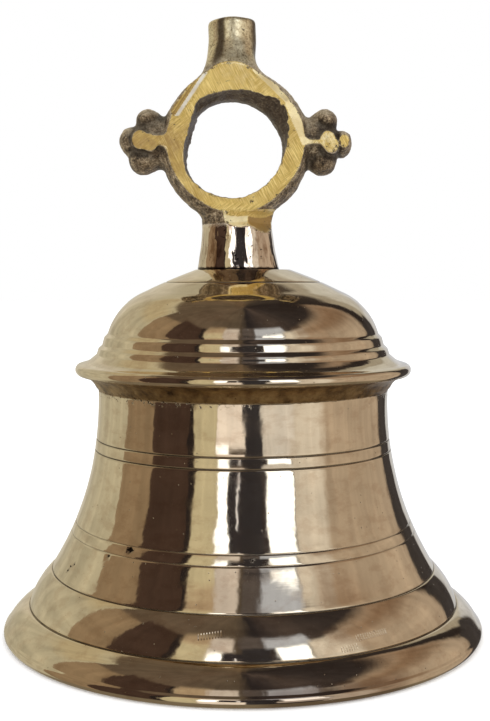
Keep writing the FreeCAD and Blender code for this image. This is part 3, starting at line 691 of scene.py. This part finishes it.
def node(kind, inputs=None, **settings):
    """A shader node with its settings, and with inputs that are plain or a Value to link from."""
    made = Value.tree.nodes.new("ShaderNode" + kind)
    for name, value in settings.items():
        setattr(made, name, value)
    for key, value in (inputs or {}).items():
        if isinstance(value, Value):
            Value.tree.links.new(value.socket, made.inputs[key])
        else:
            made.inputs[key].default_value = value
    return made


def give(kind, output, inputs=None, **settings):
    """The Value of one output of a new node."""
    return Value(node(kind, inputs, **settings).outputs[output])


def maths(operation, *values, clamp=False):
    return give("Math", 0, dict(enumerate(values)), operation=operation, use_clamp=clamp)


def parts(vector):
    """X, Y and Z of a vector."""
    return [Value(socket) for socket in node("SeparateXYZ", {0: vector}).outputs]


def combined(x, y, z=0.0):
    return give("CombineXYZ", 0, {"X": x, "Y": y, "Z": z})


def ramp(factor, stops):
    made = node("ValToRGB", {"Fac": factor})
    scale = made.color_ramp
    while len(scale.elements) < len(stops):
        scale.elements.new(1.0)
    for element, (place, colour) in zip(scale.elements, stops):
        element.position = place
        element.color = (*colour, 1)
    return Value(made.outputs["Color"])


def coats(colour, *layers):
    """Colour under layers of (mask, tint), each laid over those before it."""
    for mask, tint in layers:
        ends = [end if isinstance(end, Value) else (*end, 1) for end in (colour, tint)]
        colour = give("Mix", 2, {0: mask, 6: ends[0], 7: ends[1]}, data_type="RGBA")
    return colour


def blend(share, first, second):
    """The number between first and second at that share."""
    return give("MapRange", 0, {"Value": share, "To Min": first, "To Max": second})


def edge(value, place, blur):
    """0 below place and 1 above it, with a soft edge."""
    return give("MapRange", 0, {"Value": value, "From Min": place - blur / 2, "From Max": place + blur / 2},
                interpolation_type="SMOOTHSTEP")


def within(value, low, high, soft):
    return edge(value, low, soft) * (1 - edge(value, high, soft))


def either(*values):
    """The largest of some values."""
    result = values[0]
    for value in values[1:]:
        result = maths("MAXIMUM", result, value)
    return result


def millimetres():
    """Place on a piece in the shared frame, in millimetres."""
    return give("VectorMath", 0, {0: give("TexCoord", "Object"), "Scale": 1 / MM}, operation="SCALE")


def stretched(where, factors, turn=(0, 0, 0)):
    """Coordinates turned and then scaled per axis."""
    turned = give("VectorRotate", 0, {"Vector": where, "Rotation": turn}, rotation_type="EULER_XYZ")
    return give("VectorMath", 0, {0: turned, 1: factors}, operation="MULTIPLY")


def grain(where, size, detail=2.0, roughness=0.5):
    """Noise from 0 to 1 with lumps about size wide."""
    return give("TexNoise", "Fac", {
        "Vector": where, "Scale": 0.6 / size, "Detail": detail, "Roughness": roughness})


def stored(*names):
    """The numbers that store() kept under some names."""
    return [give("Attribute", "Fac", attribute_name=name) for name in names]


def relief(*layers):
    """Normal of reliefs laid one over another; each is a height and its depth in millimetres."""
    normal = {}
    for height, depth in layers:
        normal = {"Normal": give("Bump", "Normal", {
            "Height": height, "Distance": depth * MM, "Strength": 1.0, **normal})}
    return normal


def new_material(name, base, roughness, metallic=1.0, build=None):
    """A plain material, or one whose main sockets build() gives."""
    material = bpy.data.materials.new(name)
    material.use_nodes = True
    Value.tree = material.node_tree
    shader = Value.tree.nodes["Principled BSDF"]
    shader.inputs["Base Color"].default_value = (*base, 1)
    shader.inputs["Roughness"].default_value = roughness
    shader.inputs["Metallic"].default_value = metallic
    for socket, value in (build() if build else {}).items():
        Value.tree.links.new(value.socket, shader.inputs[socket])
    return material


def clothe(piece, material):
    piece.data.materials.clear()
    piece.data.materials.append(material)


# ------------------------ materials

BRASS = (0.86, 0.76, 0.58)
TARNISH = (0.50, 0.34, 0.21)
NEAR_BLACK = (0.030, 0.022, 0.018)
CHATTER = [  # rows of tool chatter on the roll: from azimuth and height, to azimuth and height
    (-10.5, 20.6, -4.8, 21.9), (28.0, 18.0, 37.0, 18.3), (23.5, 15.0, 27.5, 15.4), (140.0, 19.0, 160.0, 20.0)]


def height_and_azimuth(where):
    x, y, z = parts(where)
    return z, maths("DEGREES", maths("ARCTAN2", x, y * -1.0))


def chatter_marks(height, azimuth):
    """Short upright ticks, about a millimetre apart."""
    marks = []
    for start, foot, end, top in CHATTER:
        slope = (top - foot) / (end - start)
        line = maths("MULTIPLY_ADD", azimuth - start, -slope, height)
        row = within(line, foot - 0.8, foot + 0.8, 0.7) * within(azimuth, start, end, 1.0)
        phase = maths("MULTIPLY_ADD", line, 0.9, azimuth * 9.4)
        marks.append(row * edge(maths("SINE", phase), 0.45, 0.8))
    return either(*marks)


def pit_marks(height, azimuth, fine):
    """The mouths of the casting pits, ragged and longer round the bell than up it."""
    marks = []
    for place, level, width, _ in PITS:
        side = maths("ABSOLUTE", (azimuth - place) * 0.75)
        rise = maths("ABSOLUTE", height - level)
        marks.append(1 - edge(side + rise + fine * 0.5, width + 0.25, 0.35))
    return either(*marks)


def bell_metal():
    """Brass polished by hand: mirror bright, with scratches, tarnish, pits, engraved lines darkened near
    black, and a painted dark reflection on the front of the lip.
    """
    where = millimetres()
    height, azimuth = height_and_azimuth(where)
    reach, line, pit, inner, cove = stored("reach", "line", "pit", "inner", "cove")
    outer = 1 - inner
    x, y, _ = parts(where)
    rings = grain(combined(x * 0.02, y * 0.02, reach), 0.35, 3.0, 0.6)
    fine = grain(where, 0.22, 2.0, 0.6)
    cloud = grain(where, 16, 4.0, 0.6)
    mottle = grain(where, 3.0, 5.0, 0.65)
    film = edge(grain(stretched(where, (1, 1, 1.8)), 5, 5.0, 0.62), 0.56, 0.22)
    specks = node("TexVoronoi", {"Vector": where, "Scale": 0.42}).outputs
    chosen = edge(give("SeparateColor", "Red", {0: Value(specks["Color"])}), 0.80, 0.1)
    speck = chosen * (1 - edge(Value(specks["Distance"]), 0.075, 0.07)) * outer
    under_flange = within(height, 98.8, 101.6, 1.6) * edge(cloud, 0.50, 0.10)
    nicks = under_flange * edge(grain(where, 0.8, 4.0, 0.7), 0.60, 0.08) * outer
    skin = edge(cove + grain(where, 1.6, 4.0, 0.6) * 0.5, 0.78, 0.4) * outer
    # painted reflection: the front of the lip is darkened brown where dark things are mirrored
    painted_lip_reflection = (1 - edge(height, 6.5, 3.0)) * within(azimuth, 4, 36, 7.0) * outer
    # the engraved lines are darkened near black, unevenly along them
    darkened_line = edge(line + fine * 0.3, 0.62, 0.6) * blend(grain(where, 9, 3.0), 0.35, 1.1)
    dark = either(darkened_line, either(pit, pit_marks(height, azimuth, fine)), nicks, speck * 0.8)

    rough_skin = ramp(mottle, [
        (0.30, (0.10, 0.066, 0.038)), (0.48, (0.33, 0.22, 0.11)), (0.66, (0.52, 0.37, 0.19))])
    inside = ramp(mottle, [
        (0.32, (0.22, 0.15, 0.085)), (0.5, (0.46, 0.33, 0.18)), (0.68, (0.66, 0.50, 0.28))])
    colour = coats(
        (0.90, 0.79, 0.60), (cloud, (0.82, 0.71, 0.53)), (film * 0.30, TARNISH),
        (painted_lip_reflection * 0.6, (0.30, 0.20, 0.14)), (skin, rough_skin), (inner, inside), (dark, NEAR_BLACK))
    roughness = blend(rings, 0.025, 0.075) + film * 0.05 + skin * 0.30 + inner * 0.34
    roughness = maths("ADD", roughness, dark * 0.5, clamp=True)
    return {"Base Color": colour, "Roughness": roughness, **relief(
        (grain(where, 4.0), 0.055), (rings, 0.0035),
        (grain(where, 0.9, 4.0, 0.6) * either(skin, inner * 0.6), 0.30),
        (1 - either(speck, nicks), 0.08), (1 - chatter_marks(height, azimuth), 0.12))}


def crown_metal():
    """Cast brass under a dark patina, bright where it was filed, and polished on the neck; painted highlights
    and painted shade lie on the filed faces, a painted highlight runs along their edges, upward faces are
    painted lighter as if lit from above, and one dark streak on the stub is a painted reflection.
    """
    where = millimetres()
    filed, polish, stub, hollow, worn, hole, stain, shine, brink = stored(
        "filed", "polish", "stub", "hollow", "worn", "hole", "stain", "shine", "brink")
    mottle = grain(where, 1.8, 5.0, 0.65)
    fine = grain(where, 0.5, 4.0, 0.65)
    cloud = grain(where, 7, 4.0, 0.6)

    patina = ramp(mottle * 0.45 + fine * 0.55, [
        (0.38, (0.022, 0.016, 0.011)), (0.45, (0.11, 0.076, 0.045)), (0.53, (0.28, 0.20, 0.115)),
        (0.61, (0.62, 0.50, 0.33))])
    upward = maths("MAXIMUM", parts(give("NewGeometry", "Normal"))[2], 0.0)
    rubbed = ramp(fine, [(0.35, (0.36, 0.27, 0.15)), (0.6, (0.78, 0.66, 0.47))])
    streak = grain(stretched(where, (1, 1, 0.5)), 1.3, 5.0, 0.7)
    dull = ramp(streak * 0.35 + fine * 0.65, [
        (0.36, (0.26, 0.185, 0.10)), (0.46, (0.72, 0.60, 0.36)), (0.60, (1.0, 0.90, 0.62))])
    colour = coats(
        patina,
        # the lighter rubbed colour: real wear on worn high points, and painted light from above on upward
        # faces
        (edge(worn + upward * 0.55 + cloud * 0.5, 0.60, 0.5) * 0.8, rubbed),
        (edge(hollow, 0.25, 0.5) * 0.8, (0.030, 0.023, 0.018)),
        (stub * edge(mottle, 0.33, 0.12), dull),
        # dark upright streaks on the stub; the one at -27 degrees is a painted reflection
        (edge(stain + mottle * 0.8, 0.95, 0.7) * 0.85, (0.10, 0.068, 0.042)),
        (hole * 0.65, (0.085, 0.061, 0.044)))

    across, other = (grain(stretched(where, (0.06, 1.0, 1.0), (0, math.radians(turn), 0)), size, 3.0, 0.6)
                     for turn, size in ((38, 0.20), (-62, 0.22)))
    strokes = blend(edge(grain(where, 24, 1.0), 0.5, 0.05), across, other)
    # painted light on the filed faces: pale and near-white painted highlights where it runs high, brown and
    # near-black painted shade where it runs low; bright is the filed brass with this painted light laid in
    patchy_painted_light = shine + (mottle - 0.5) * 0.8
    bright = coats(
        ramp(strokes, [(0.36, (0.46, 0.30, 0.070)), (0.50, (0.68, 0.475, 0.13)), (0.63, (0.92, 0.73, 0.31))]),
        (edge(cloud, 0.5, 0.35) * 0.45, (0.86, 0.65, 0.21)),
        (edge(patchy_painted_light, 0.45, 0.5) * 0.8, (1.0, 0.88, 0.54)),
        (edge(patchy_painted_light, 1.15, 0.4) * 0.9, (1.0, 0.97, 0.88)),
        ((1 - edge(patchy_painted_light, -0.4, 0.6)) * 0.8, (0.30, 0.17, 0.06)),
        ((1 - edge(patchy_painted_light, -1.15, 0.4)) * 0.8, (0.09, 0.06, 0.035)),
        (edge(grain(where, 5, 3.0), 0.53, 0.25) * 0.35, (0.46, 0.29, 0.075)),
        # a painted highlight along the edges of the filed faces
        (edge(brink + mottle * 1.2, 1.52, 0.3) * 0.6, (1.0, 0.90, 0.60)),
        (edge(grain(where, 1.6, 5.0, 0.7) + brink * 0.075, 0.655, 0.05), (0.10, 0.07, 0.04)))
    polished = coats(
        (0.88, 0.76, 0.60),
        (edge(grain(stretched(where, (1, 1, 0.35)), 4, 5.0, 0.65), 0.56, 0.18), (0.42, 0.29, 0.19)),
        (edge(grain(where, 1.3, 3.0, 0.7), 0.66, 0.05), NEAR_BLACK))
    colour = coats(colour, (edge(polish + fine * 0.3, 0.62, 0.3), polished))
    above_seam = edge(parts(where)[2] + fine * 1.6, 152.1, 0.7)
    file_mask = edge(filed + fine * 0.5, 0.75, 0.25)
    colour = coats((0.05, 0.035, 0.024), (above_seam, colour), (file_mask, bright))

    roughness = blend(file_mask, blend(stub, blend(polish, 0.42, 0.06), 0.30), 0.40)
    metallic = blend(file_mask, blend(stub, blend(polish, 0.45, 1.0), 0.85), 0.45)
    cast = (1 - file_mask) * (1 - polish) * (1 - stub * 0.8)
    return {"Base Color": colour, "Roughness": roughness, "Metallic": metallic, **relief(
        ((fine * 0.5 + mottle) * cast, 0.9), (strokes * file_mask, 0.10))}


def forged_iron():
    """Black forge scale with rust in it, and bare steel where pieces rub."""
    where = millimetres()
    coarse, fine = grain(where, 2.6, 5.0, 0.65), grain(where, 0.6, 4.0, 0.65)
    scale = ramp(coarse, [
        (0.35, (0.020, 0.017, 0.016)), (0.55, (0.075, 0.062, 0.054)), (0.7, (0.15, 0.12, 0.10))])
    rust = ramp(fine, [(0.35, (0.085, 0.030, 0.012)), (0.62, (0.30, 0.125, 0.045))])
    rusty = edge(grain(where, 5, 5.0, 0.7), 0.56, 0.14)
    bare = edge(stored("rubbed")[0] + fine * 0.4, 0.62, 0.3)
    return {"Base Color": coats(scale, (rusty * 0.85, rust), (bare, (0.52, 0.50, 0.47))),
            "Roughness": blend(bare, blend(rusty, 0.48, 0.80), 0.27),
            "Metallic": either(bare, blend(rusty, 0.75, 0.10)),
            **relief(((coarse + fine) * (1 - bare), 0.35))}


def zinc_steel():
    """Zinc plating, spangled and dulled, with tool scratches."""
    where = millimetres()
    spangle = give("TexVoronoi", "Color", {"Vector": where, "Scale": 0.9})
    tone = give("SeparateColor", "Green", {0: spangle})
    dull = grain(where, 3.0, 5.0, 0.65)
    scratch = grain(stretched(where, (0.12, 1, 1), (0.3, 0.4, 0.8)), 0.25, 3.0, 0.6)
    colour = coats((0.50, 0.50, 0.49), (tone, (0.66, 0.66, 0.64)),
                   (edge(dull, 0.55, 0.2) * 0.6, (0.34, 0.29, 0.21)))
    return {"Base Color": colour, "Roughness": blend(dull, 0.22, 0.50),
            **relief((scratch + dull * 0.6, 0.05))}


def clapper_brass():
    """Turned brass gone brown, with fine rings, and bright where it strikes the bell."""
    where = millimetres()
    x, y, z = parts(where)
    rings = grain(combined(x * 0.03, y * 0.03, z), 0.30, 3.0, 0.6)
    cloud, fine = grain(where, 6, 5.0, 0.65), grain(where, 0.8, 4.0, 0.65)
    struck = edge(stored("rubbed")[0] + fine * 0.5, 0.62, 0.4)
    brown = ramp(cloud, [
        (0.34, (0.20, 0.125, 0.060)), (0.52, (0.52, 0.37, 0.165)), (0.68, (0.76, 0.58, 0.29))])
    return {"Base Color": coats(brown, (rings * 0.35, (0.16, 0.10, 0.05)), (struck, (0.92, 0.76, 0.46))),
            "Roughness": blend(struck, blend(cloud, 0.42, 0.22), 0.20),
            **relief((rings, 0.03), (fine * struck, 0.12))}


# ------------------------ studio

CEILING = [(-180, (0.17, 0.12, 0.08)), (-120, (0.12, 0.09, 0.065)), (-50, (0.136, 0.10, 0.075)),
           (-4, (0.11, 0.085, 0.065)), (6, (0.026, 0.022, 0.025)), (30, (0.078, 0.06, 0.056)),
           (60, (0.040, 0.032, 0.032)), (130, (0.028, 0.022, 0.022)), (160, (0.05, 0.04, 0.035)),
           (180, (0.13, 0.095, 0.065))]
BELOW = -200
ROOM = [  # colour, azimuths from -Y towards +X, elevations, blur, and slant of the top
    ((0.50, 0.465, 0.36), (-190, -101), (BELOW, 51), 1.5, 0.06),  # left wall
    ((0.50, 0.43, 0.29), (-150, -103), (34, 53), 6.0),  # left wall, up
    ((0.62, 0.575, 0.47), (-200, -153), (-12, 33), 6.0),  # left wall, far
    ((0.285, 0.207, 0.135), (-101, -72), (BELOW, 48), 1.5),  # panel
    ((0.062, 0.038, 0.030), (-72, -37), (BELOW, 53), 1.6, -0.20),  # cupboard
    ((0.024, 0.018, 0.018), (-41, -37), (BELOW, 47), 1.2),  # cupboard's edge
    ((0.58, 0.52, 0.365), (-36.4, -19), (BELOW, 44), 1.5),  # curtain
    ((0.42, 0.32, 0.22), (-37, -17), (39, 49), 4.0),  # curtain, up
    ((0.91, 0.83, 0.80), (-19, 1), (BELOW, 3), 1.5),  # sill
    ((1.9, 2.0, 2.2), (-19, -11), (2, 35), 1.8),  # window
    ((0.62, 0.56, 0.54), (-19, -4), (31, 48), 3.0),  # window, up
    ((0.036, 0.031, 0.036), (-10.6, 2), (6, 31), 2.0),  # viewer
    ((0.036, 0.033, 0.038), (0, 14), (BELOW, 38), 2.0),  # viewer, right
    ((0.10, 0.085, 0.085), (-1, 14), (36, 50), 2.0),  # viewer, up
    ((0.9, 0.9, 1.0), (-4.2, -3.0), (6, 24), 0.8),  # gap beside the viewer
    ((1.9, 2.0, 2.2), (18, 37), (5, 38), 2.2),  # side window
    ((0.50, 0.54, 0.66), (12, 40), (36, 48), 3.0),  # side window, up
    ((0.71, 0.675, 0.66), (14, 40), (-16, 5), 2.0),  # side sill
    ((0.72, 0.665, 0.61), (38, 72), (BELOW, 39), 3.0, 0.10),  # right wall, near
    ((0.46, 0.372, 0.298), (62, 131), (BELOW, 44), 7.0, 0.16),  # right wall
    ((0.26, 0.172, 0.117), (50, 131), (31, 39), 9.0, 0.20),  # right wall, up
    ((0.38, 0.345, 0.285), (142, 200), (14, 43), 3.0),  # back wall
    ((0.052, 0.046, 0.047), (131, 148), (BELOW, 18), 1.6),  # doorway
    ((0.60, 0.61, 0.64), (150, 190), (BELOW, 15), 3.0),  # back door
    ((0.56, 0.545, 0.50), (151, 190), (13, 34), 3.0),  # back door, up
]


def patch(azimuth, elevation, sides, levels, blur, slant=0.0):
    """Mask of a part of the room between two azimuths and two elevations, its top rising by slant."""
    left = edge(azimuth, sides[0], blur)
    right = 1 - edge(azimuth, sides[1], blur)
    lowered = maths("MULTIPLY_ADD", azimuth - sides[0], -slant, elevation)
    top = 1 - edge(lowered, levels[1], 2 * blur)
    return left * right * (top * edge(elevation, levels[0], 2 * blur))


def paint_room(azimuth, elevation):
    """Colours of a room as the bell mirrors it, by direction."""
    place = maths("MULTIPLY_ADD", azimuth, 1 / 360, 0.5)
    colour = coats(
        ramp(place, [((turn + 180) / 360, shade) for turn, shade in CEILING]),
        *((patch(azimuth, elevation, *shape), shade) for shade, *shape in ROOM),
        (1 - edge(elevation, -33, 14), (0.20, 0.165, 0.12)))
    upright = combined(azimuth * 0.16, elevation * 0.02)
    level = combined(azimuth * 0.02, elevation * 0.10)
    clutter = blend(grain(upright, 0.6, 3.0, 0.6), 0.62, 1.36) * blend(grain(level, 0.6), 0.72, 1.28)
    return give("VectorMath", 0, {0: colour, "Scale": clutter}, operation="SCALE")


def make_world():
    """Even soft light for the room, and for mirror directions the room itself."""
    world = bpy.data.worlds.new("Studio")
    bpy.context.scene.world = world
    world.use_nodes = True
    world.cycles.sampling_method = "NONE"
    Value.tree = world.node_tree
    Value.tree.nodes.clear()
    upward, azimuth = height_and_azimuth(give("TexCoord", "Generated"))
    room = paint_room(azimuth, maths("DEGREES", maths("ARCSINE", upward)))
    path = node("LightPath").outputs
    overhead = maths("MULTIPLY_ADD", maths("MAXIMUM", upward, 0.0), 0.6, 0.87)
    seen = coats(combined(overhead, overhead, overhead), (Value(path["Is Camera Ray"]), (1.0, 1.0, 1.0)),
                 (Value(path["Is Glossy Ray"]), room))
    node("OutputWorld", {"Surface": give("Background", 0, {"Color": seen, "Strength": 1.0})})


def make_floor():
    size = 6.0
    corners = [(-size, -size, 0), (size, -size, 0), (size, size, 0), (-size, size, 0)]
    floor = new_object("floor", corners, [(0, 1, 2, 3)], smooth=False)
    pale = new_material("pale_floor", (0.9, 0.9, 0.9), 1.0, 0.0)
    shader = pale.node_tree.nodes["Principled BSDF"]
    shader.inputs["Specular IOR Level"].default_value = 0.0
    shader.inputs["Emission Color"].default_value = (1, 1, 1, 1)
    shader.inputs["Emission Strength"].default_value = 0.18
    clothe(floor, pale)
    floor.visible_glossy = False


def make_camera():
    data = bpy.data.cameras.new("Camera")
    camera = bpy.data.objects.new("Camera", data)
    bpy.context.scene.collection.objects.link(camera)
    camera.location = (0.0008, -0.4818, 0.1478)
    camera.rotation_euler = Euler((math.radians(90 - 4.215), 0, 0))
    data.lens = 57.42
    data.sensor_width = 36.0
    bpy.context.scene.camera = camera


def dress(piece, material, body, slot, *nodes):
    """Gives a piece its material and its body, and hides the frame nodes that it stands for; slot is not
    used.
    """
    clothe(piece, material)
    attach(piece, body)
    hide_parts(*nodes)


brass = new_material("bell_metal", BRASS, 0.05, 1.0, bell_metal)
cast_brass = new_material("crown_metal", (0.45, 0.34, 0.18), 0.45, 0.6, crown_metal)
iron = new_material("forged_iron", (0.08, 0.065, 0.055), 0.55, 0.7, forged_iron)
zinc = new_material("zinc_steel", (0.60, 0.60, 0.58), 0.32, 1.0, zinc_steel)
ball_brass = new_material("clapper_brass", (0.60, 0.45, 0.22), 0.3, 1.0, clapper_brass)
dress(make_shell(), brass, "bell", "polished_bell_brass", "bell_shell")
dress(make_crown(), cast_brass, "bell", "crown_brass", "crown_ring")
dress(make_forging("forged_eyebolt", bolt_field, (-11, -6.5, 115), (11, 6.5, 169), [UPPER_PIVOT]),
      iron, "bell", "forged_iron", "clapper_eyebolt")
dress(make_turning("flat_washer", washer_outline(SEAT_WASHER), 0.25, 40, 96),
      zinc, "bell", "zinc_steel", "seat_washer")
dress(make_nut("hexagon_nut", CLAMP_NUT), zinc, "bell", "zinc_steel", "clamp_nut")
dress(make_forging("oval_link", link_field, (-3, -10.5, 101), (3, 10.5, 127),
                   [UPPER_PIVOT + 2.5, LOWER_PIVOT]),
      iron, "link", "forged_iron", "swivel_link")
dress(make_forging("hung_rod", rod_field, (-11, -6.5, 2.5), (11, 6.5, 113), [LOWER_PIVOT + 2.5]),
      iron, "clapper", "forged_iron", "clapper_rod")
dress(make_turning("striking_ball", BALL, 0.5, 90, 128, 0.12),
      ball_brass, "clapper", "clapper_brass", "clapper_ball")
dress(make_turning("small_washer", washer_outline(TAIL_WASHER), 0.2, 32, 72),
      zinc, "clapper", "zinc_steel", "tail_washer")
dress(make_nut("small_nut", TAIL_NUT), zinc, "clapper", "zinc_steel", "tail_nut")
make_world()
make_floor()
make_camera()
bpy.context.scene.view_settings.view_transform = "Standard"
